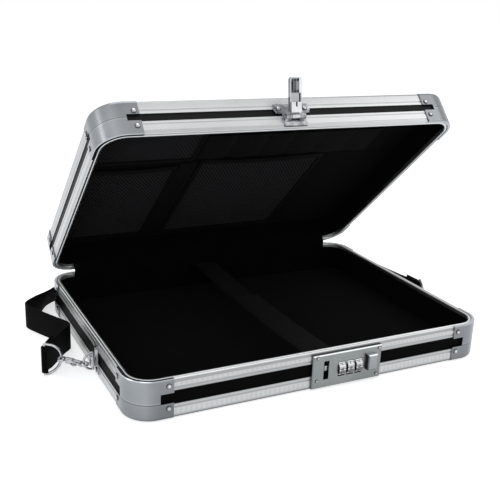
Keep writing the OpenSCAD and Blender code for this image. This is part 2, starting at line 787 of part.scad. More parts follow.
// Plate with a barrel for the ring, on the left side
module strap_bracket() {
    color(chrome) difference() {
        union() {
            translate([-side_x - cap_t, bracket_y - 5, 4]) cube([cap_t - 0.02, 10, 29]);
            translate([-ring_axis, bracket_y, ring_z - 4.5]) cylinder(r = 2.9, h = 9);
            translate([-ring_axis, bracket_y - 2.2, ring_z - 4.5]) cube([ring_axis - side_x - 0.5, 4.4, 9]);
        }
        translate([-ring_axis, bracket_y, 0]) cylinder(r = ring_wire + 0.08, h = 40);
        in_base() at_bracket_rivets() rivet_hole();
    }
}

// D-shaped ring whose straight bar turns in the barrel
module case_ring() {
    color(chrome) translate([-ring_axis, bracket_y, ring_z]) {
        translate([0, 0, -ring_r]) cylinder(r = ring_wire, h = 2 * ring_r, $fn = 32);
        rotate([90, 0, 0]) rotate([0, 0, 90]) rotate_extrude(angle = 180, $fn = fine) translate([ring_r, 0])
            circle(ring_wire, $fn = 32);
        for (s = [-1, 1]) translate([0, 0, s * ring_r]) sphere(ring_wire, $fn = 32);
    }
}

// Places hook parts, drawn with the eye at the origin and the nose along +X
module on_left_hook() {
    translate([left_eye[0], left_eye[1], hook_z]) rotate([0, 0, 180 + left_hook_turn]) children();
}
module on_right_hook() {
    translate([right_eye[0], right_eye[1], hook_z]) rotate([0, 0, 180 + right_hook_turn]) children();
}

// Eye round the strap's ring with a headed stem
module swivel_eye() {
    color(chrome) {
        rotate_extrude($fn = 64) translate([eye_r, 0]) circle(1.1, $fn = 24);
        translate([eye_r + 0.6, 0, 0]) rotate([0, 90, 0]) cylinder(r = 1.2, h = 6.2);
        translate([eye_r + 5.4, 0, 0]) rotate([0, 90, 0]) cylinder(r = 1.9, h = 1.4);
    }
}

// Hook body: collar over the stem, shank, side barrel for the bolt, and an open nose
module snap_hook() {
    color(chrome) difference() {
        union() {
            translate([eye_r + 1.9, 0, 0]) rotate([0, 90, 0]) cylinder(r = 3.1, h = 6.6);
            translate([12.3, 0.9, 0]) rotate([0, 90, 0]) cylinder(r = 2.1, h = 7.9);
            translate([12.3, -2.6, 0]) rotate([0, 90, 0]) cylinder(r = 2, h = 5.1);
            translate([hook_len, 0, 0]) rotate([0, 0, -122]) rotate_extrude(angle = 280, $fn = 64)
                translate([nose_r, 0]) circle(nose_wire, $fn = 24);
        }
        // room for the stem, its head, the bolt and the bolt's knob
        translate([eye_r, 0, 0]) rotate([0, 90, 0]) cylinder(r = 1.28, h = 4);
        translate([eye_r + 3.1, 0, 0]) rotate([0, 90, 0]) cylinder(r = 2, h = 4.6);
        translate([12.4, -2.6, 0]) rotate([0, 90, 0]) cylinder(r = 1.16, h = 6);
        translate([12.6, -6, -0.7]) cube([4.5, 3.4, 1.4]);
    }
}

// Sliding bolt with a thumb knob that closes the nose
module hook_bolt() {
    color(chrome) {
        translate([15.7, -2.6, 0]) rotate([0, 90, 0]) cylinder(r = 1.1, h = 4.9);
        translate([15.8, -5.6, -0.6]) cube([1.2, 3, 1.2]);
        translate([16.4, -5.8, 0]) sphere(1.3, $fn = 32);
    }
}

// D-ring of the strap: upright bar at the origin, arc along +X
module strap_ring() {
    color(chrome) {
        translate([0, 0, -d_half - 0.8]) cylinder(r = d_wire - 0.1, h = 2 * d_half + 1.6, $fn = 32);
        rotate([90, 0, 0]) rotate([0, 0, -90]) rotate_extrude(angle = 180, $fn = fine)
            translate([d_half, 0]) circle(d_wire, $fn = 32);
    }
}

module at_left_bar() {
    translate([left_bar[0], left_bar[1], d_z]) rotate([0, 0, 180 + left_d_turn]) children();
}
module at_right_bar() {
    translate([right_bar[0], right_bar[1], d_z]) rotate([0, 0, 180 + right_d_turn]) children();
}

// The sewn end of the webbing round the D-ring's bar
module strap_loop() {
    color(cloth) translate([0, 0, -web_w / 2]) difference() {
        cylinder(r = loop_r, h = web_w);
        translate([0, 0, -1]) cylinder(r = loop_r - web_t, h = web_w + 2);
    }
}

module strap_bracket_left() { strap_bracket(); }
module strap_bracket_right() { mirror([1, 0, 0]) strap_bracket(); }
module ring_left() { case_ring(); }
module ring_right() { mirror([1, 0, 0]) case_ring(); }
module swivel_eye_left() { on_left_hook() swivel_eye(); }
module swivel_eye_right() { on_right_hook() swivel_eye(); }
module snap_hook_left() { on_left_hook() snap_hook(); }
module snap_hook_right() { on_right_hook() snap_hook(); }
module hook_bolt_left() { on_left_hook() hook_bolt(); }
module hook_bolt_right() { on_right_hook() hook_bolt(); }
module strap_ring_left() { at_left_bar() strap_ring(); }
module strap_ring_right() { at_right_bar() strap_ring(); }
module strap_loop_left() { at_left_bar() strap_loop(); }
module strap_loop_right() { at_right_bar() strap_loop(); }

// ---------------------------------------------------------------- webbing

// A point between b and c of a smooth curve through a, b, c and d
function between(a, b, c, d, t) = 0.5 * (2 * b + (c - a) * t + (2 * a - 5 * b + 4 * c - d) * t * t
    + (3 * b - a - 3 * c + d) * t * t * t);
function smooth(p) = let (n = len(p)) concat(
    [for (i = [0:n - 2], t = [0, 0.5]) between(p[max(i - 1, 0)], p[i], p[i + 1], p[min(i + 2, n - 1)], t)],
    [p[n - 1]]);
function travel(p, i) = let (q = p[min(i + 1, len(p) - 1)] - p[max(i - 1, 0)], l = norm([q[0], q[1]]))
    [q[0] / l, q[1] / l];

// Eight corners of the webbing's section, as shares of half its thickness and half its width
section = [[-1, -0.97], [-0.6, -1], [0.6, -1], [1, -0.97], [1, 0.97], [0.6, 1], [-0.6, 1], [-1, 0.97]];
function ring_at(p, i) = let (
    t = travel(p, i), a = p[i][3], side = [t[1], -t[0], 0],
    up = cos(a) * [0, 0, 1] + sin(a) * side, out = cos(a) * side - sin(a) * [0, 0, 1],
    mid = [p[i][0], p[i][1], p[i][2] + (cos(a) * web_w + sin(a) * web_t) / 2])
    [for (c = section) mid + out * c[0] * web_t / 2 + up * c[1] * web_w / 2];

module shoulder_strap() {
    p = smooth(strap_route);
    n = len(p);
    points = [for (i = [0:n - 1]) each ring_at(p, i)];
    sides = [for (i = [0:n - 2], k = [0:7]) let (a = 8 * i + k, b = 8 * i + (k + 1) % 8)
        each [[a, b, b + 8], [a, b + 8, a + 8]]];
    ends = [[for (k = [7:-1:0]) k], [for (k = [0:7]) 8 * n - 8 + k]];
    color(cloth) polyhedron(points, concat([ends[0]], sides, [ends[1]]), convexity = 8);
}

base_panel();
base_wall();
base_lining();
base_face_rails();
base_rim_rails();
base_face_corners();
base_rim_corners();
base_rivets();
hinge_base_leaf();
hinge_pin();
hinge_cover();
lid_panel();
lid_wall();
lid_lining();
lid_face_rails();
lid_rim_rails();
lid_face_corners();
lid_rim_corners();
lid_rivets();
hinge_lid_leaf();
lock_plate();
lock_rivets();
lock_case();
dial_axle();
dial_1();
dial_2();
dial_3();
latch_button();
latch_bolt();
latch_spring();
hasp_bracket();
hasp_pin();
hasp_arm();
clip_base();
clip_pin();
clip_spring();
clip_lever();
document_strap_front();
document_strap_rear();
pocket_upper();
pocket_lower();
pocket_large();
pen_loops();
strap_bracket_left();
strap_bracket_right();
ring_left();
ring_right();
swivel_eye_left();
swivel_eye_right();
snap_hook_left();
snap_hook_right();
hook_bolt_left();
hook_bolt_right();
strap_ring_left();
strap_ring_right();
strap_loop_left();
strap_loop_right();
shoulder_strap();
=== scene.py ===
"""The looks of a lockable clipboard case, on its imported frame: camera, light, materials and soft pieces."""
import math

import bpy
from mathutils import Matrix, Vector


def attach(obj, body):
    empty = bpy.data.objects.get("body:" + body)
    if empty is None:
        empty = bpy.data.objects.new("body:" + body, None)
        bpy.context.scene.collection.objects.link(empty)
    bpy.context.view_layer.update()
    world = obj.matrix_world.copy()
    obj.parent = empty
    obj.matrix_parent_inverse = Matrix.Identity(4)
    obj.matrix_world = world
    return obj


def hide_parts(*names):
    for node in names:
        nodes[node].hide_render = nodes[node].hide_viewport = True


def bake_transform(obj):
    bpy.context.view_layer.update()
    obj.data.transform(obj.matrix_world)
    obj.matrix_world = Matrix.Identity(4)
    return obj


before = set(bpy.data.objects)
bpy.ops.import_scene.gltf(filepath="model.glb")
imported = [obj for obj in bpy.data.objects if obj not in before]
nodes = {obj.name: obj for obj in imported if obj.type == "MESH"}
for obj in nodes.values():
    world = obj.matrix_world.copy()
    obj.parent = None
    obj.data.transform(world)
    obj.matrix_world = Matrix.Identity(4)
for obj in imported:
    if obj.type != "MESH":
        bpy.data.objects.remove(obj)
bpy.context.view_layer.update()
scene = bpy.context.scene

# ------------------------------------------------------------------ the case's own sizes, in metres
MM = 0.001
CASE_W, CASE_D, BASE_H, LID_H = 0.365, 0.274, 0.037, 0.0334
LID_OPEN = 42.4
HALF_RIM_GAP = 0.00015
HINGE_Y, HINGE_Z = CASE_D / 2 + 0.0029, BASE_H + HALF_RIM_GAP
LID_PANEL_T, LINING_T = 0.0034, 0.0008
LINING_U = LID_H - LID_PANEL_T - LINING_T
LINING_REACH = CASE_D / 2 - 0.0044
IN_LID = (
    Matrix.Translation((0, HINGE_Y, HINGE_Z))
    @ Matrix.Rotation(math.radians(-LID_OPEN), 4, "X")
    @ Matrix.Translation((0, -HINGE_Y, HALF_RIM_GAP))
)

# The shoulder strap and its hardware
WEB_W, WEB_T = 0.026, 0.0016
WEB_GAP = 0.0001
D_WIRE = 0.0013
D_HALF = WEB_W / 2 + 0.0005 + D_WIRE
D_Z = D_HALF + D_WIRE + WEB_GAP
RING_OUT = CASE_W / 2 + 0.0044 + 0.0082
HOOK_L = 0.0236
BRACKET_Y = -0.042
LEFT_RUN, RIGHT_RUN = 57, 92

# The document strap
BAND_T, BAND_TOP, BAND_SAG = 0.0014, 0.0326, 0.004

# The lock's wheels
WHEEL_X, WHEEL_Y, WHEEL_Z, WHEEL_R = (0.016, 0.0251, 0.0342), -CASE_D / 2 - 0.0028 + 0.0062, 0.017, 0.0086


def heading(degrees):
    return Vector((math.cos(math.radians(degrees)), math.sin(math.radians(degrees))))


LEFT_BAR = Vector((-RING_OUT, BRACKET_Y)) + HOOK_L * heading(132) + D_HALF * heading(176)
RIGHT_BAR = Vector((RING_OUT, BRACKET_Y)) + HOOK_L * heading(75) + D_HALF * heading(72)
LOOP_R = D_WIRE + WEB_GAP + WEB_T
LEFT_START = LEFT_BAR + (LOOP_R + 0.00005) * heading(LEFT_RUN)
RIGHT_END = RIGHT_BAR + (LOOP_R + 0.00005) * heading(RIGHT_RUN)

# The webbing's route on its edge: x, y, height of the lower edge (mm), outward lean (degrees)
ROUTE = [
    (LEFT_START.x / MM, LEFT_START.y / MM, (D_Z - WEB_W / 2) / MM, 0),
    (-217, -12.5, 2, 0), (-208, 1, 1, 0), (-199, 14, 0.4, 0), (-192.5, 21, 0.2, 0), (-190.6, 26, 0.2, 0),
    (-193, 34, 0.2, 0), (-203, 53, 0.2, 0), (-214.5, 76, 0.2, 0), (-218.6, 87, 0.2, 0), (-217, 95, 0.2, 0),
    (-207, 107, 0.2, 6), (-194, 121, 0.2, 18), (-183, 136, 0.2, 26), (-167, 149, 0.2, 18), (-144, 154, 0.2, 6),
    (-105, 156, 0.2, 0), (-45, 156, 0.2, 0), (25, 156, 0.2, 0), (76, 156, 0.2, 0), (95, 157, 0.2, 0),
    (101, 161.5, 0.2, 0), (95, 166, 0.2, 0), (76, 167, 0.2, 0), (10, 167, 0.2, 0), (-50, 167, 0.2, 0),
    (-90, 167, 0.2, 0), (-109, 168, 0.2, 0), (-115, 172.5, 0.2, 0), (-109, 177, 0.2, 0), (-90, 178, 0.2, 0),
    (-20, 178, 0.2, 0), (50, 178, 0.2, 0), (95, 176, 0.2, 0), (121, 167, 0.2, 0), (146, 157, 0.2, 0),
    (170, 147, 0.2, 0), (187, 129, 0.2, 0), (196, 98, 0.2, 0), (201, 55, 0.2, 0), (204, 18, 1.2, 0),
    (RIGHT_END.x / MM, RIGHT_END.y / MM, (D_Z - WEB_W / 2) / MM, 0),
]


# ------------------------------------------------------------------ camera
def add_camera():
    focal_px, picture_px, sensor_mm = 807.68, 500, 36
    yaw, pitch, roll = (math.radians(a) for a in (27.057, 18.371, -2.527))
    forward = Vector((math.sin(yaw) * math.cos(pitch), math.cos(yaw) * math.cos(pitch), -math.sin(pitch)))
    level = Vector((math.cos(yaw), -math.sin(yaw), 0))
    right = math.cos(roll) * level - math.sin(roll) * level.cross(forward)
    up = right.cross(forward)
    data = bpy.data.cameras.new("view")
    data.sensor_width = sensor_mm
    data.lens = focal_px / picture_px * sensor_mm
    data.clip_start, data.clip_end = 0.05, 20
    camera = bpy.data.objects.new("view", data)
    scene.collection.objects.link(camera)
    place = Matrix((right, up, -forward)).transposed().to_4x4()
    place.translation = (-0.36366, -0.69011, 0.34646)
    camera.matrix_world = place
    scene.camera = camera


# ------------------------------------------------------------------ materials
class Shader:
    """A node material: a Principled shader with helpers for procedural colour and relief."""

    def __init__(self, name, **sockets):
        self.material = bpy.data.materials.new(name)
        self.material.use_nodes = True
        self.tree = self.material.node_tree
        self.bsdf = next(n for n in self.tree.nodes if n.type == "BSDF_PRINCIPLED")
        self.set(self.bsdf, sockets)
        own = self.node("ShaderNodeTexCoord")
        self.place, self.normal, self.uv = own.outputs["Object"], own.outputs["Normal"], own.outputs["UV"]

    def set(self, node, sockets):
        for key, value in sockets.items():
            socket = node.inputs[key if isinstance(key, int) else key.replace("_", " ")]
            if isinstance(value, bpy.types.NodeSocket):
                self.tree.links.new(value, socket)
            else:
                socket.default_value = value

    def node(self, kind, props=None, **sockets):
        node = self.tree.nodes.new(kind)
        for key, value in (props or {}).items():
            setattr(node, key, value)
        self.set(node, sockets)
        return node

    def scaled(self, scale, rotation=(0, 0, 0), source=None):
        return self.node("ShaderNodeMapping", Vector=source or self.place, Scale=scale, Rotation=rotation).outputs[0]

    def noise(self, scale, detail=3.0, rough=0.55, vector=None):
        return self.node("ShaderNodeTexNoise", Vector=vector or self.place, Scale=scale, Detail=detail,
                         Roughness=rough).outputs[0]

    def cells(self, scale):
        return self.node("ShaderNodeTexVoronoi", {"feature": "SMOOTH_F1"}, Vector=self.place,
                         Scale=scale).outputs["Distance"]

    def wave(self, scale, vector, direction, distortion=0.0):
        return self.node("ShaderNodeTexWave", {"bands_direction": direction}, Vector=vector,
                         Scale=scale, Distortion=distortion).outputs["Fac"]

    def math(self, operation, a, b=0.0):
        node = self.node("ShaderNodeMath", {"operation": operation})
        self.set(node, {0: a, 1: b})
        return node.outputs[0]

    def ramp(self, value, *stops):
        node = self.node("ShaderNodeValToRGB", Fac=value)
        elements = node.color_ramp.elements
        elements.remove(elements[1])
        elements[0].position = stops[0][0]
        for at, _ in stops[1:]:
            elements.new(at)
        for element, (_, colour) in zip(elements, stops):
            element.color = (*colour, 1)
        return node.outputs["Color"]

    def mix(self, kind, a, b, amount=1.0):
        node = self.node("ShaderNodeMix", {"data_type": "RGBA", "blend_type": kind}, Factor=amount)
        self.set(node, {6: a, 7: b})
        return node.outputs[2]

    def dot(self, a, b):
        node = self.node("ShaderNodeVectorMath", {"operation": "DOT_PRODUCT"})
        self.set(node, {0: a, 1: b})
        return node.outputs["Value"]

    def banded(self, colour, up, zero, stops):
        """colour times a share that depends on the height (mm) along up from zero (m)."""
        share = self.math("MULTIPLY", self.math("SUBTRACT", self.dot(self.place, up), zero), 25.0)
        return self.mix("MULTIPLY", colour, self.ramp(share, *((mm / 40.0, (v, v, v)) for mm, v in stops)))

    def faced(self, colour, axis, stops):
        """colour times a share that depends on how far the surface faces along an axis, from -1 to 1."""
        share = self.math("MULTIPLY", self.math("ADD", self.dot(self.normal, axis), 1.0), 0.5)
        return self.mix("MULTIPLY", colour, self.ramp(share, *(((n + 1) / 2, (v, v, v)) for n, v in stops)))

    def squared(self, colour, axes, stops):
        """colour times a share that depends on how squarely the surface faces the nearest of some axes."""
        best = 0.0
        for axis in axes:
            best = self.math("MAXIMUM", best, self.math("ABSOLUTE", self.dot(self.normal, axis)))
        return self.mix("MULTIPLY", colour, self.ramp(best, *((n, (v, v, v)) for n, v in stops)))

    def range(self, value, low, high):
        return self.node("ShaderNodeMapRange", Value=value, To_Min=low, To_Max=high).outputs[0]

    def relief(self, height, distance, strength):
        return self.node("ShaderNodeBump", Height=height, Distance=distance, Strength=strength).outputs["Normal"]

    def finish(self, colour=None, roughness=None, normal=None):
        for key, value in (("Base Color", colour), ("Roughness", roughness), ("Normal", normal)):
            if value is not None:
                self.set(self.bsdf, {key: value})
        return self.material


def rail_material(name, up, zero, painted_shades, ticks, stretch):
    """Satin anodised extrusion with a faint row of ticks pressed along its lands; painted shade darkens its grooves
    and edges and a painted highlight brightens its bead, set by height.
    """
    s = Shader(name, Metallic=1.0)
    lines = s.noise(1.0, 3.0, 0.5, s.scaled(stretch))
    clouds = s.noise(22.0, 3.0)
    base = s.ramp(s.math("ADD", s.math("MULTIPLY", lines, 0.5), s.math("MULTIPLY", clouds, 0.5)),
                  (0.3, (0.565, 0.575, 0.58)), (0.7, (0.635, 0.645, 0.65)))
    # painted shade and painted highlight: the colour is darkened in the grooves and at the edges and brightened on
    # the bead, by height
    colour = s.banded(base, up, zero, painted_shades)
    run = s.math("MULTIPLY", s.dot(s.place, (1.0, 1.0, 0.0)), 1350.0)
    tick = s.math("MULTIPLY", s.math("SUBTRACT", 1.0, s.math("SINE", run)), 0.5)
    land = s.banded((1.0, 1.0, 1.0, 1.0), up, zero, ticks)
    colour = s.mix("MULTIPLY", colour, s.mix("MIX", (1.0, 1.0, 1.0, 1.0), (0.89, 0.89, 0.89, 1.0),
                                             s.math("MULTIPLY", tick, land)))
    return s.finish(colour, s.range(clouds, 0.31, 0.39), s.relief(lines, 0.00001, 0.3))


def plated_material(name, dark, light, rough, brushed=None, bands=None, faces=(), square=None,
                    mottle=26.0):
    """Pressed and plated sheet: a slow cloudiness, a fine grain in its gloss and hairline scratches."""
    s = Shader(name, Metallic=1.0)
    slow = s.noise(mottle, 2.0)
    fine = s.noise(700.0, 2.0)
    scratch = s.ramp(s.noise(1.0, 2.0, 0.5, s.scaled((90, 90, 1400), (0.5, 0.3, 0.0))),
                     (0.30, (1, 1, 1)), (0.34, (0, 0, 0)))
    tone = s.math("ADD", s.math("MULTIPLY", slow, 0.85), s.math("MULTIPLY", fine, 0.15))
    if brushed:
        tone = s.math("ADD", s.math("MULTIPLY", tone, 0.6),
                      s.math("MULTIPLY", s.noise(1.0, 3.0, 0.6, s.scaled(brushed)), 0.4))
    colour = s.ramp(tone, (0.3, dark), (0.7, light))
    # bands, faces and square paint light and shade into the colour: by height, by which way the surface faces, and
    # by how squarely it faces an axis
    if bands:
        colour = s.banded(colour, *bands)
    for axis, stops in faces:
        colour = s.faced(colour, axis, stops)
    if square:
        colour = s.squared(colour, *square)
    roughness = s.math("ADD", s.range(slow, *rough), s.math("MULTIPLY", scratch, 0.06))
    return s.finish(colour, roughness, s.relief(slow, 0.0004, 0.06))


def panel_material(name, gloss):
    """Black moulded sheet with a fine pebble grain."""
    s = Shader(name, Specular_IOR_Level=gloss)
    pebble = s.cells(900.0)
    clouds = s.noise(30.0, 3.0)
    colour = s.ramp(clouds, (0.3, (0.0012, 0.0012, 0.0013)), (0.7, (0.0028, 0.0028, 0.003)))
    return s.finish(colour, s.range(clouds, 0.40, 0.56), s.relief(pebble, 0.0001, 0.4))


def pile_material(name, low, high):
    """Short brushed pile of the lining."""
    s = Shader(name, Sheen_Weight=0.015, Sheen_Roughness=0.5, Specular_IOR_Level=0.03)
    fibres = s.noise(2600.0, 4.0, 0.7)
    nap = s.noise(40.0, 4.0, 0.6)
    colour = s.ramp(s.math("ADD", s.math("MULTIPLY", fibres, 0.6), s.math("MULTIPLY", nap, 0.4)),
                    (0.35, low), (0.68, high))
    return s.finish(colour, s.range(nap, 0.86, 0.98), s.relief(fibres, 0.0002, 0.7))


def woven_material(name, ribs, picks, low, high, sheen):
    """Webbing: herringbone ribs along the length crossed by picks, from the piece's own length and width."""
    s = Shader(name, Sheen_Weight=sheen, Sheen_Roughness=0.45, Specular_IOR_Level=0.04)
    across = s.wave(ribs, s.uv, "Y")
    along = s.wave(picks, s.scaled((1, 0.7, 1), (0, 0, 0.7), s.uv), "X", 0.5)
    weave = s.math("MULTIPLY", across, along)
    wear = s.noise(55.0, 4.0, 0.65)
    colour = s.ramp(s.math("ADD", s.math("MULTIPLY", weave, 0.65), s.math("MULTIPLY", wear, 0.35)),
                    (0.15, low), (0.75, high))
    return s.finish(colour, s.range(wear, 0.62, 0.82), s.relief(weave, 0.0003, 0.8))


def thread_material(name, colour):
    """Twisted thread."""
    s = Shader(name, Roughness=0.7, Sheen_Weight=0.04, Specular_IOR_Level=0.15)
    twist = s.noise(3000.0, 3.0)
    dim = tuple(c * 0.6 for c in colour)
    return s.finish(s.ramp(twist, (0.3, dim), (0.7, colour)), None, s.relief(twist, 0.0001, 0.6))


def ink_material():
    """Dull black ink of the wheels' digits."""
    s = Shader("digit_ink", Roughness=0.5)
    grain = s.noise(900.0)
    return s.finish(s.ramp(grain, (0.3, (0.006, 0.006, 0.007)), (0.7, (0.015, 0.015, 0.017))))


# ------------------------------------------------------------------ mesh helpers
def smooth(points, steps):
    """Catmull-Rom curve through points, each a tuple of numbers."""
    result = []
    for i in range(len(points) - 1):
        a, b, c, d = (points[min(max(k, 0), len(points) - 1)] for k in (i - 1, i, i + 1, i + 2))
        for j in range(steps):
            t = j / steps
            result.append(tuple(
                0.5 * (2 * q + (r - p) * t + (2 * p - 5 * q + 4 * r - w) * t * t + (3 * q - p - 3 * r + w) * t ** 3)
                for p, q, r, w in zip(a, b, c, d)))
    result.append(tuple(points[-1]))
    return result


def new_piece(name, verts, faces, material, body, uvs=None, flat=False):
    mesh = bpy.data.meshes.new(name)
    mesh.from_pydata([tuple(v) for v in verts], [], faces)
    mesh.validate()
    if uvs:
        layer = mesh.uv_layers.new(name="length")
        for loop in mesh.loops:
            layer.data[loop.index].uv = uvs[loop.vertex_index]
    if not flat:
        mesh.shade_smooth()
    mesh.materials.append(material)
    piece = bpy.data.objects.new(name, mesh)
    scene.collection.objects.link(piece)
    if body:
        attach(piece, body)
    return piece


def ribbon(name, line, ups, width, thick, material, body):
    """A strip with rounded edges swept along line; ups[i] is the direction of its width at point i."""
    half, t = width / 2, thick / 2
    e = min(0.3 * thick, half)
    profile = [(-t, -half + e), (-t * 0.62, -half + 0.25 * e), (0, -half), (t * 0.62, -half + 0.25 * e),
               (t, -half + e), (t, -half / 3), (t, half / 3), (t, half - e), (t * 0.62, half - 0.25 * e), (0, half),
               (-t * 0.62, half - 0.25 * e), (-t, half - e), (-t, half / 3), (-t, -half / 3)]
    n = len(profile)
    verts, uvs, run = [], [], 0.0
    for i, point in enumerate(line):
        ahead, behind = line[min(i + 1, len(line) - 1)], line[max(i - 1, 0)]
        along = (ahead - behind).normalized()
        out = along.cross(ups[i]).normalized()
        run += (point - line[i - 1]).length if i else 0.0
        for a, b in profile:
            verts.append(point + out * a + ups[i] * b)
            uvs.append((run, b))
    faces = [(i * n + k, i * n + (k + 1) % n, (i + 1) * n + (k + 1) % n, (i + 1) * n + k)
             for i in range(len(line) - 1) for k in range(n)]
    faces += [tuple(reversed(range(n))), tuple(range((len(line) - 1) * n, len(line) * n))]
    return new_piece(name, verts, faces, material, body, uvs)


def stitches(name, dashes, material, body, radius=0.00028, sides=6):
    """Short raised threads, each from one point to another."""
    profile = ((0.0, 0.35, -0.2), (0.2, 1.0, 0.5), (0.5, 1.15, 0.9), (0.8, 1.0, 0.5), (1.0, 0.35, -0.2))
    rings = len(profile) - 1
    verts, faces = [], []
    for start, end, normal in dashes:
        along = (end - start).normalized()
        side = along.cross(normal).normalized()
        base = len(verts)
        for share, size, lift in profile:
            centre = start.lerp(end, share) + normal * radius * lift
            for k in range(sides):
                angle = math.tau * k / sides
                verts.append(centre + (side * math.cos(angle) + normal * math.sin(angle)) * radius * size)
        for ring in range(rings):
            for k in range(sides):
                a, b = base + ring * sides + k, base + ring * sides + (k + 1) % sides
                faces.append((a, b, b + sides, a + sides))
        faces.append(tuple(base + k for k in reversed(range(sides))))
        faces.append(tuple(base + rings * sides + k for k in range(sides)))
    return new_piece(name, verts, faces, material, body)


def seam(start, end, normal, pitch=0.0032, dash=0.0022):
    count = max(1, int((end - start).length / pitch))
    step = (end - start) / count
    return [(start + step * i, start + step * i + step.normalized() * dash, normal) for i in range(count)]


# ------------------------------------------------------------------ the shoulder strap
def strap_line():
    line, ups = [], []
    points = smooth(ROUTE, 6)
    for i, (x, y, z, lean) in enumerate(points):
        ahead, behind = points[min(i + 1, len(points) - 1)], points[max(i - 1, 0)]
        along = Vector((ahead[0] - behind[0], ahead[1] - behind[1])).normalized()
        side = Vector((along.y, -along.x, 0))
        a = math.radians(lean)
        up = (math.cos(a) * Vector((0, 0, 1)) + math.sin(a) * side).normalized()
        rise = (math.cos(a) * WEB_W + math.sin(a) * WEB_T) / 2
        line.append(Vector((x * MM, y * MM, z * MM + rise)))
        ups.append(up)
    return line, ups


def strap_end(name, bar, along, other_side, material):
    """The webbing round the D-ring's bar and its sewn-back tail, lying against the main run."""
    up = Vector((0, 0, 1))
    radius = D_WIRE + WEB_GAP + WEB_T / 2
    ahead = Vector((along.x, along.y, 0))
    side = Vector((-along.y, along.x, 0)) * other_side
    centre = Vector((bar.x, bar.y, D_Z))
    tail = 0.022
    line = []
    for i in range(13):
        turn = math.radians(-20 + 318 * i / 12)
        line.append(centre + radius * (math.cos(turn) * ahead - math.sin(turn) * side))
    end = line[-1]
    gap = WEB_T + WEB_GAP
    for i in range(1, 9):
        share = i / 8
        eased = min(1.0, share * 2.2)
        target = centre + ahead * (radius + tail * share) + side * gap
        line.append(end.lerp(target, eased) if share < 0.5 else target)
    return ribbon(name, line, [up] * len(line), WEB_W - 0.0002, WEB_T, material, "base")


def build_strap(webbing):
    line, ups = strap_line()
    strap = ribbon("strap_webbing", line, ups, WEB_W, WEB_T, webbing, "base")
    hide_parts("shoulder_strap")
    left = strap_end("strap_end_left", LEFT_BAR, heading(LEFT_RUN), 1, webbing)
    right = strap_end("strap_end_right", RIGHT_BAR, heading(RIGHT_RUN), -1, webbing)
    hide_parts("strap_loop_left")
    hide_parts("strap_loop_right")


# ------------------------------------------------------------------ the document strap
def document_line(y0, y1, lift, count=40):
    line = []
    for i in range(count + 1):
        y = y0 + (y1 - y0) * i / count
        z = BAND_TOP - BAND_SAG * (1 - (y / LINING_REACH) ** 2) + lift
        line.append(Vector((0, y, z - BAND_T / 2)))
    return line


def build_document_strap(webbing, thread):
    for name, x, width, y0, y1, lift in (("front", -0.002, 0.030, -LINING_REACH, 0.025, 0.0),
                                         ("rear", -0.003, 0.026, -0.022, LINING_REACH, -0.00142)):
        line = [p + Vector((x, 0, 0)) for p in document_line(y0, y1, lift)]
        ups = [Vector((1, 0, 0))] * len(line)
        piece = ribbon(f"document_band_{name}", line, ups, width, BAND_T, webbing, "base")
        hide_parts(f"document_strap_{name}")
        up = Vector((0, 0, 1))
        free = y1 if name == "front" else y0
        inward = -1 if name == "front" else 1
        dashes = []
        for offset in (0.003, 0.009):
            y = free + inward * offset
            z = document_line(y, y + 0.001, lift, 1)[0].z + BAND_T / 2
            dashes += seam(Vector((x - width / 2 + 0.002, y, z)), Vector((x + width / 2 - 0.002, y, z)), up)
        stitches(f"document_band_{name}_stitches", dashes, thread, "base")


# ------------------------------------------------------------------ nets, loops and seams in the lid
def in_lid(x, v, u):
    """A point of the closed lid: x, distance from the hinge, height above the rim; placed on the open lid."""
    return IN_LID @ Vector((x, HINGE_Y - v, u))


def lid_normal():
    return (IN_LID.to_3x3() @ Vector((0, 0, -1))).normalized()


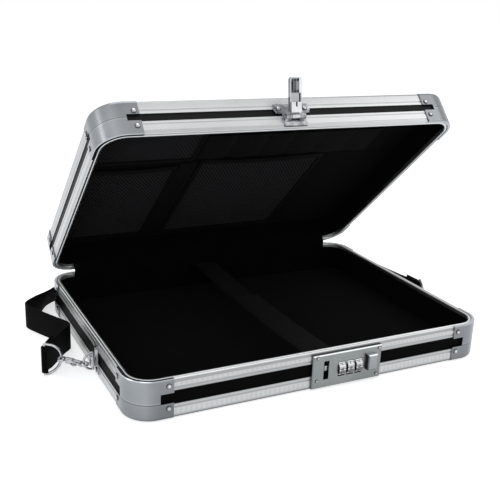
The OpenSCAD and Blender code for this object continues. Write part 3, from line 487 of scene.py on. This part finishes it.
def net(name, x0, x1, v0, v1, node, thread, band, swell):
    """Open diamond net in a bound frame, drawn in a little between its corners and standing off the lining."""
    pitch_x, pitch_v = 0.0036, 0.0052
    nx, nv = round((x1 - x0) / pitch_x), round((v1 - v0) / pitch_v)
    floor = LINING_U - 0.0008

    def height(s, t):
        inside = 0 < s < 1 and 0 < t < 0.95
        dome = (math.sin(math.pi * s) * math.sin(math.pi * min(1.0, t * 1.05))) ** 0.7 if inside else 0
        ripple = 0.0004 * math.sin(9.0 * s + 4.0 * t) * math.sin(7.0 * t + 1.0)
        return floor - swell * dome - ripple * dome

    def place(s, t, u):
        slack = 0.0025 * math.sin(math.pi * s) * t ** 3
        return in_lid(x0 + (x1 - x0) * s, v0 + (v1 - v0) * t - slack, u)

    index, verts = {}, []
    for i in range(2 * nx + 1):
        for j in range(2 * nv + 1):
            if (i + j) % 2 == 0:
                index[i, j] = len(verts)
                s, t = i / (2 * nx), j / (2 * nv)
                verts.append(place(s, t, height(s, t)))
    faces = []
    for i in range(2 * nx - 1):
        for j in range(2 * nv - 1):
            corners = [(i, j + 1), (i + 1, j), (i + 2, j + 1), (i + 1, j + 2)]
            if (i + j) % 2 == 1 and all(c in index for c in corners):
                faces.append([index[c] for c in corners])
    mesh = bpy.data.meshes.new(name)
    mesh.from_pydata(verts, [], faces)
    mesh.materials.append(thread)
    piece = bpy.data.objects.new(name, mesh)
    scene.collection.objects.link(piece)
    wires = piece.modifiers.new("threads", "WIREFRAME")
    wires.thickness = 0.00062
    wires.use_boundary = True
    wires.use_even_offset = False
    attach(piece, "lid")
    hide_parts(node)
    facing = lid_normal()
    for side, (a, b, width) in {"left": ((0, 0), (0, 1), 0.005), "right": ((1, 0), (1, 1), 0.005),
                                "foot": ((0, 0), (1, 0), 0.005), "mouth": ((0, 1), (1, 1), 0.008)}.items():
        line, last = [], 24
        for k in range(last + 1):
            s, t = a[0] + (b[0] - a[0]) * k / last, a[1] + (b[1] - a[1]) * k / last
            lift = 0.0009 + (0.0006 * math.sin(math.pi * s) if side == "mouth" else 0)
            line.append(place(s, t, floor - lift))
        ups = []
        for k in range(last + 1):
            along = (line[min(k + 1, last)] - line[max(k - 1, 0)]).normalized()
            ups.append(facing.cross(along).normalized())
        ribbon(f"{name}_{side}", line, ups, width, 0.0012, band, "lid")


def build_pen_loops(band, thread):
    """A wide elastic band sewn down at intervals, standing off in low arches between the seams."""
    x0, x1, v0, v1 = -0.062, 0.136, 0.181, 0.223
    gaps = [0.030, 0.034, 0.030, 0.034, 0.036, 0.034]
    floor = LINING_U - 0.0004
    line, at = [], x0
    seams = [x0]
    for gap in gaps:
        for k in range(12):
            s = k / 12
            line.append(in_lid(at + gap * s, (v0 + v1) / 2, floor - 0.0012 * math.sin(math.pi * s) ** 0.8))
        at += gap
        seams.append(at)
    line.append(in_lid(at, (v0 + v1) / 2, floor))
    up = (in_lid(0, 1, 0) - in_lid(0, 0, 0)).normalized()
    piece = ribbon("pen_band", line, [up] * len(line), v1 - v0, 0.0009, band, "lid")
    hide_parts("pen_loops")
    facing = lid_normal()
    dashes = []
    for x in seams[1:-1]:
        for shift in (-0.0008, 0.0008):
            ends = [in_lid(x + shift, v, floor - 0.0005) for v in (v0 + 0.002, v1 - 0.002)]
            dashes += seam(*ends, facing)
    stitches("pen_band_stitches", dashes, thread, "lid")


def build_lid_divider(band, thread):
    """The sewn strip between the two columns of pockets."""
    facing = lid_normal()
    line = [in_lid(-0.066, 0.020 + 0.155 * k / 30, LINING_U - 0.0008) for k in range(31)]
    across = Vector((1, 0, 0))
    ribbon("lid_divider", line, [across] * len(line), 0.018, 0.0012, band, "lid")
    dashes = []
    for x in (-0.0735, -0.0585):
        dashes += seam(in_lid(x, 0.021, LINING_U - 0.0014), in_lid(x, 0.174, LINING_U - 0.0014), facing)
    stitches("lid_divider_stitches", dashes, thread, "lid")


# ------------------------------------------------------------------ the cloth over the hinge
def build_hinge_cover(cloth):
    """A slack cloth from the tray's rear wall, over both rims, to the lid's lining."""
    half, across, thick = 0.1575, 126, 0.0007
    path = smooth([(0.13245, 0.0318), (0.1311, 0.0330), (0.1308, 0.0355), (0.1308, 0.0385), (0.1316, 0.0415),
                   (0.1333, 0.0443), (0.1357, 0.0467), (0.1382, 0.0478), (0.1400, 0.0483)], 4)
    n = len(path)
    verts, uvs = [], []
    for side in (0, 1):
        for i in range(across + 1):
            x = -half + 2 * half * i / across
            for j, (y, z) in enumerate(path):
                ahead, behind = path[min(j + 1, n - 1)], path[max(j - 1, 0)]
                along = Vector((0, ahead[0] - behind[0], ahead[1] - behind[1])).normalized()
                out = Vector((0, -along.z, along.y))
                s = j / (n - 1)
                slack = math.sin(math.pi * s) ** 1.3
                fold = (0.9 + 0.55 * math.sin(41 * x + 3.2 * s) + 0.35 * math.sin(97 * x - 4.1 * s + 1.0)
                        + 0.25 * math.sin(173 * x + 7.0 * s)) * 0.0009 * slack
                verts.append(Vector((x, y, z)) + out * (fold + (thick if side == 0 else 0)))
                uvs.append((x, s * 0.024))
    stride, layer = n, n * (across + 1)
    faces = []
    for i in range(across):
        for j in range(n - 1):
            a = i * stride + j
            faces.append((a, a + stride, a + stride + 1, a + 1))
            b = layer + a
            faces.append((b, b + 1, b + stride + 1, b + stride))
    for i in range(across):
        a = i * stride
        faces.append((a, layer + a, layer + a + stride, a + stride))
        b = a + n - 1
        faces.append((b, b + stride, layer + b + stride, layer + b))
    for j in range(n - 1):
        faces.append((j, j + 1, layer + j + 1, layer + j))
        b = across * stride + j
        faces.append((b, layer + b, layer + b + 1, b + 1))
    piece = new_piece("hinge_cloth", verts, faces, cloth, None, uvs)
    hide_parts("hinge_cover")
    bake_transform(piece)


# ------------------------------------------------------------------ digits on the wheels
def build_digits(ink):
    raised = WHEEL_R + 0.00004
    for number, x in enumerate(WHEEL_X, 1):
        centre = Vector((x, WHEEL_Y, WHEEL_Z))
        verts, faces = [], []
        for digit in range(10):
            curve = bpy.data.curves.new("digit", "FONT")
            curve.body = str(digit)
            curve.size = 0.0046
            curve.align_x, curve.align_y = "CENTER", "CENTER"
            glyph = bpy.data.objects.new("digit", curve)
            scene.collection.objects.link(glyph)
            flat = bpy.data.meshes.new_from_object(glyph.evaluated_get(bpy.context.evaluated_depsgraph_get()))
            base = len(verts)
            for vertex in flat.vertices:
                angle = vertex.co.y / WHEEL_R + math.tau * digit / 10
                verts.append(centre + Vector((vertex.co.x, -raised * math.cos(angle), raised * math.sin(angle))))
            faces += [tuple(base + v for v in polygon.vertices) for polygon in flat.polygons]
            bpy.data.objects.remove(glyph)
            bpy.data.curves.remove(curve)
            bpy.data.meshes.remove(flat)
        new_piece(f"digits_{number}", verts, faces, ink, f"dial_{number}", flat=True)


# ------------------------------------------------------------------ light and surroundings
def seen_directly(tree):
    """1 for what the camera, a reflection or a refraction looks at, so that metal shows the white too."""
    path = tree.nodes.new("ShaderNodeLightPath")
    total = path.outputs["Is Camera Ray"]
    for kind in ("Is Glossy Ray", "Is Transmission Ray"):
        both = tree.nodes.new("ShaderNodeMath")
        both.operation = "MAXIMUM"
        tree.links.new(total, both.inputs[0])
        tree.links.new(path.outputs[kind], both.inputs[1])
        total = both.outputs[0]
    return total


def build_floor():
    size = 6.0
    mesh = bpy.data.meshes.new("floor")
    mesh.from_pydata([(-size, -size, 0), (size, -size, 0), (size, size, 0), (-size, size, 0)], [], [(0, 1, 2, 3)])
    floor = bpy.data.objects.new("floor", mesh)
    scene.collection.objects.link(floor)
    s = Shader("floor_paper", Roughness=1.0, Specular_IOR_Level=0.0, Base_Color=(0.8, 0.8, 0.8, 1))
    glow = s.node("ShaderNodeEmission", Color=(1, 1, 1, 1), Strength=0.62)
    both = s.node("ShaderNodeAddShader")
    s.set(both, {0: s.bsdf.outputs[0], 1: glow.outputs[0]})
    mix = s.node("ShaderNodeMixShader")
    s.set(mix, {0: seen_directly(s.tree), 1: s.bsdf.outputs[0], 2: both.outputs[0]})
    output = next(n for n in s.tree.nodes if n.type == "OUTPUT_MATERIAL")
    s.set(output, {"Surface": mix.outputs[0]})
    mesh.materials.append(s.material)


def build_world():
    world = bpy.data.worlds.new("studio")
    scene.world = world
    world.use_nodes = True
    tree = world.node_tree
    tree.nodes.clear()
    white = tree.nodes.new("ShaderNodeBackground")
    white.inputs["Color"].default_value = (1, 1, 1, 1)
    soft = tree.nodes.new("ShaderNodeBackground")
    soft.inputs["Color"].default_value = (0.62, 0.64, 0.67, 1)
    soft.inputs["Strength"].default_value = 0.8
    mixed = tree.nodes.new("ShaderNodeMixShader")
    out = tree.nodes.new("ShaderNodeOutputWorld")
    tree.links.new(seen_directly(tree), mixed.inputs[0])
    tree.links.new(soft.outputs[0], mixed.inputs[1])
    tree.links.new(white.outputs[0], mixed.inputs[2])
    tree.links.new(mixed.outputs[0], out.inputs["Surface"])


def build_lights():
    """Area lamps: place, target, width, height and power in watts."""
    for name, place, target, width, height, power in (
            ("key", (-1.1, -1.5, 1.7), (0, 0, 0.05), 1.3, 1.0, 6),
            ("front", (0.5, -2.2, 0.55), (0, -0.1, 0.1), 1.8, 0.5, 2),
            ("over", (0.3, 0.5, 2.1), (0, 0, 0.1), 1.6, 1.2, 12),
            ("right", (1.55, -0.55, 1.75), (0.1, 0, 0.2), 0.9, 0.9, 3.4),
            ("side", (-2.0, 0.2, 0.7), (0, 0, 0.1), 0.7, 1.0, 5)):
        data = bpy.data.lights.new(name, "AREA")
        data.shape = "RECTANGLE"
        data.size, data.size_y, data.energy = width, height, power
        lamp = bpy.data.objects.new(name, data)
        scene.collection.objects.link(lamp)
        lamp.location = place
        lamp.rotation_euler = (Vector(target) - Vector(place)).to_track_quat("-Z", "Y").to_euler()


def dress(material, *names):
    for name in names:
        mesh = nodes[name].data
        mesh.materials.clear()
        mesh.materials.append(material)


# ------------------------------------------------------------------ the scene
add_camera()
webbing = woven_material("webbing_black", 520.0, 900.0, (0.0006, 0.0006, 0.0007), (0.0040, 0.0040, 0.0046), 0.008)
elastic = woven_material("elastic_black", 900.0, 1300.0, (0.0012, 0.0012, 0.0013), (0.006, 0.006, 0.0066), 0.02)
binding = woven_material("binding_black", 1200.0, 1500.0, (0.0014, 0.0014, 0.0016), (0.0075, 0.0075, 0.008), 0.02)
thread = thread_material("thread_black", (0.012, 0.012, 0.013))
net_thread = thread_material("net_thread", (0.05, 0.05, 0.054))
build_strap(webbing)

# Directions that the painted shades follow, and where the lid's height starts along its own
ACROSS, DEPTH, UP = (1, 0, 0), (0, 1, 0), (0, 0, 1)
LID_DEPTH, LID_UP, LID_ZERO = (0, 0.7385, -0.6743), (0, 0.6743, 0.7385), 0.12192
ARM_OUT, ARM_ZERO = (0, -0.9917, 0.1288), 0.0860
# Painted shade and painted highlight by height in mm: dark at the foot and in the grooves, above 1 on the bead; the
# second table places the ticks
base_rail = rail_material("rail_aluminium", UP, 0.0, (
    (0.0, 0.16), (1.0, 0.26), (2.4, 0.48), (3.4, 0.80), (4.5, 0.90), (9.2, 0.90), (9.5, 0.60), (11.0, 0.60),
    (11.3, 0.80), (13.1, 0.62), (25.8, 0.46), (26.6, 0.68), (27.6, 0.60), (29.2, 0.66), (29.6, 0.86), (32.6, 0.84),
    (32.9, 0.52), (35.6, 0.55), (35.9, 1.02), (36.9, 1.12)),
    ((3.2, 0.0), (4.0, 1.0), (8.6, 1.0), (9.2, 0.0), (29.6, 0.0), (30.0, 1.0), (32.3, 1.0), (32.6, 0.0)),
    (60, 60, 1500))
# The lid's painted shade and painted highlight by height: bright at the rim, dark in its grooves and towards its top
# edge
lid_rail = rail_material("rail_aluminium_lid", LID_UP, LID_ZERO, (
    (0.2, 1.0), (0.9, 1.0), (1.3, 0.64), (3.9, 0.68), (4.3, 0.84), (9.2, 0.86), (9.5, 0.72), (10.6, 0.72),
    (11.0, 0.88), (12.6, 0.78), (20.4, 0.86), (22.2, 0.84), (22.5, 0.72), (24.0, 0.72), (24.3, 0.80), (30.4, 0.74),
    (31.2, 0.44), (32.4, 0.50), (33.2, 0.66)),
    ((4.4, 0.0), (5.0, 0.3), (8.6, 0.3), (9.2, 0.0), (24.4, 0.0), (25.0, 0.3), (29.8, 0.3), (30.4, 0.0)),
    (60, 900, 900))
# Painted light on the corner caps: lighter around the bend towards the left, darker where they face straight ahead
TURN_PAINTED_LIGHT = ((ACROSS, ((-1.0, 1.0), (-0.45, 1.12), (-0.2, 0.88), (0.0, 0.76), (0.3, 0.78), (0.7, 0.9))),)
CAP_ROUGH = (0.22, 0.32)
# The caps' bands are painted highlight and painted shade by height: bright lines at their edges and seams, dark
# lines beside the seams and at the foot
rim_caps = plated_material("cap_plating_rim", (0.25, 0.265, 0.28), (0.33, 0.345, 0.365), CAP_ROUGH, bands=(
    UP, 0.0, ((15.3, 0.45), (15.6, 0.60), (15.9, 1.15), (17.5, 0.95), (35.8, 0.95), (36.6, 1.9))), faces=TURN_PAINTED_LIGHT)
foot_caps = plated_material("cap_plating_foot", (0.21, 0.222, 0.235), (0.28, 0.295, 0.312), CAP_ROUGH, bands=(
    UP, 0.0, ((0.0, 0.45), (1.2, 0.6), (3.0, 0.95), (13.8, 1.0), (14.6, 1.2), (14.9, 0.6))), faces=TURN_PAINTED_LIGHT)
lid_rim_caps = plated_material("cap_plating_lid_rim", (0.25, 0.265, 0.28), (0.33, 0.345, 0.365), CAP_ROUGH, bands=(
    LID_UP, LID_ZERO, ((0.2, 1.7), (0.9, 1.0), (15.4, 1.0), (16.4, 1.3), (16.8, 0.45))), faces=TURN_PAINTED_LIGHT)
lid_top_caps = plated_material("cap_plating_lid_top", (0.22, 0.232, 0.245), (0.30, 0.315, 0.333), CAP_ROUGH, bands=(
    LID_UP, LID_ZERO, ((17.0, 0.5), (17.5, 1.15), (18.5, 1.0), (31.0, 0.95), (33.0, 0.7))), faces=TURN_PAINTED_LIGHT)
bright = plated_material("bright_plating", (0.24, 0.25, 0.26), (0.58, 0.59, 0.61), (0.10, 0.18), mottle=210.0)
clip_plating = plated_material("clip_plating", (0.36, 0.37, 0.38), (0.50, 0.51, 0.525), (0.14, 0.24),
                               brushed=(1600, 60, 60))
# Painted highlight and painted shade on the rivet heads: bright where the dome faces squarely along an axis, dark
# towards its rim
DOME_PAINTED_LIGHT = ((0.74, 0.10), (0.90, 0.22), (0.965, 0.7), (0.99, 1.4))
base_rivet_steel = plated_material("rivet_steel_base", (0.32, 0.33, 0.34), (0.44, 0.45, 0.465), (0.12, 0.2), square=(
    (ACROSS, DEPTH, UP), DOME_PAINTED_LIGHT))
lid_rivet_steel = plated_material("rivet_steel_lid", (0.32, 0.33, 0.34), (0.44, 0.45, 0.465), (0.12, 0.2), square=(
    (ACROSS, LID_DEPTH, LID_UP), DOME_PAINTED_LIGHT))
# Painted light on the lock plate: a painted highlight on its upward bevels, painted shade on its top face, its
# underside and its left side
lock_plating = plated_material("lock_plating", (0.185, 0.20, 0.20), (0.27, 0.285, 0.285), (0.26, 0.38),
                               brushed=(1600, 300, 60), faces=(
    (UP, ((-0.6, 0.6), (-0.3, 1.0), (0.35, 1.0), (0.6, 3.2), (0.8, 3.2), (0.9, 0.45))),
    (ACROSS, ((-0.9, 0.5), (-0.6, 1.0)))))
# Painted light on the button: a painted highlight on its upward faces, painted shade on its underside and its left
# side
button_plating = plated_material("button_plating", (0.24, 0.25, 0.255), (0.32, 0.33, 0.34), (0.2, 0.3), faces=(
    (UP, ((-0.5, 0.5), (-0.2, 1.0), (0.4, 1.0), (0.6, 2.9))), (ACROSS, ((-0.8, 0.12), (-0.5, 1.0)))))
inner_steel = plated_material("inner_steel", (0.16, 0.165, 0.17), (0.26, 0.265, 0.27), (0.3, 0.45))
# Painted light on the wheels: a painted highlight on their upper half, painted shade on their lower half and on
# their left sides
wheel_metal = plated_material("wheel_metal", (0.40, 0.41, 0.42), (0.52, 0.53, 0.54), (0.16, 0.26), faces=(
    (UP, ((-0.7, 0.15), (-0.2, 0.35), (0.15, 0.75), (0.6, 1.5))), (ACROSS, ((-0.9, 0.1), (-0.6, 1.0)))))
hasp_plating = plated_material("hasp_plating", (0.16, 0.165, 0.175), (0.60, 0.61, 0.63), (0.08, 0.16), mottle=170.0)
# Painted light on the hasp arm by height out of it: painted shade in its channel, painted highlights along the edges
# of its flanges
arm_plating = plated_material("arm_plating", (0.36, 0.37, 0.385), (0.50, 0.51, 0.525), (0.12, 0.22), bands=(
    ARM_OUT, ARM_ZERO, ((0.9, 0.8), (3.0, 0.92), (3.3, 0.16), (4.4, 0.40), (4.7, 1.1), (6.5, 1.2), (6.8, 0.45),
                        (10.2, 0.55), (10.4, 1.2))), mottle=120.0)
base_panel = panel_material("panel_black_base", 0.02)
lid_panel = panel_material("panel_black_lid", 0.12)
pile = pile_material("lining_pile", (0.0010, 0.0010, 0.0011), (0.0042, 0.0042, 0.0046))

dress(base_rail, "base_face_rails", "base_rim_rails")
dress(lid_rail, "lid_face_rails", "lid_rim_rails")
dress(rim_caps, "base_rim_corners")
dress(foot_caps, "base_face_corners")
dress(lid_rim_caps, "lid_rim_corners")
dress(lid_top_caps, "lid_face_corners")
dress(base_panel, "base_panel", "base_wall")
dress(lid_panel, "lid_panel", "lid_wall")
dress(pile, "base_lining", "lid_lining")
dress(base_rivet_steel, "base_rivets", "lock_rivets")
dress(lid_rivet_steel, "lid_rivets")
dress(clip_plating, "clip_base", "clip_lever", "clip_pin", "clip_spring",
      "hinge_base_leaf", "hinge_lid_leaf", "hinge_pin")
dress(bright, "hasp_pin",
      "strap_bracket_left", "strap_bracket_right", "ring_left", "ring_right", "swivel_eye_left", "swivel_eye_right",
      "snap_hook_left", "snap_hook_right", "hook_bolt_left", "hook_bolt_right", "strap_ring_left",
      "strap_ring_right")
dress(hasp_plating, "hasp_bracket", "latch_bolt")
dress(arm_plating, "hasp_arm")
dress(lock_plating, "lock_plate")
dress(button_plating, "latch_button")
dress(inner_steel, "lock_case", "dial_axle", "latch_spring")
dress(wheel_metal, "dial_1", "dial_2", "dial_3")

build_document_strap(elastic, thread)
net("net_upper", -0.166, -0.066, 0.182, 0.262, "pocket_upper", net_thread, binding, 0.0010)
net("net_lower", -0.168, -0.078, 0.022, 0.168, "pocket_lower", net_thread, binding, 0.0010)
net("net_large", -0.054, 0.084, 0.020, 0.176, "pocket_large", net_thread, binding, 0.0010)
build_pen_loops(elastic, thread)
build_lid_divider(binding, thread)
build_hinge_cover(pile)
build_digits(ink_material())
build_floor()
build_world()
build_lights()
scene.view_settings.view_transform = "Standard"
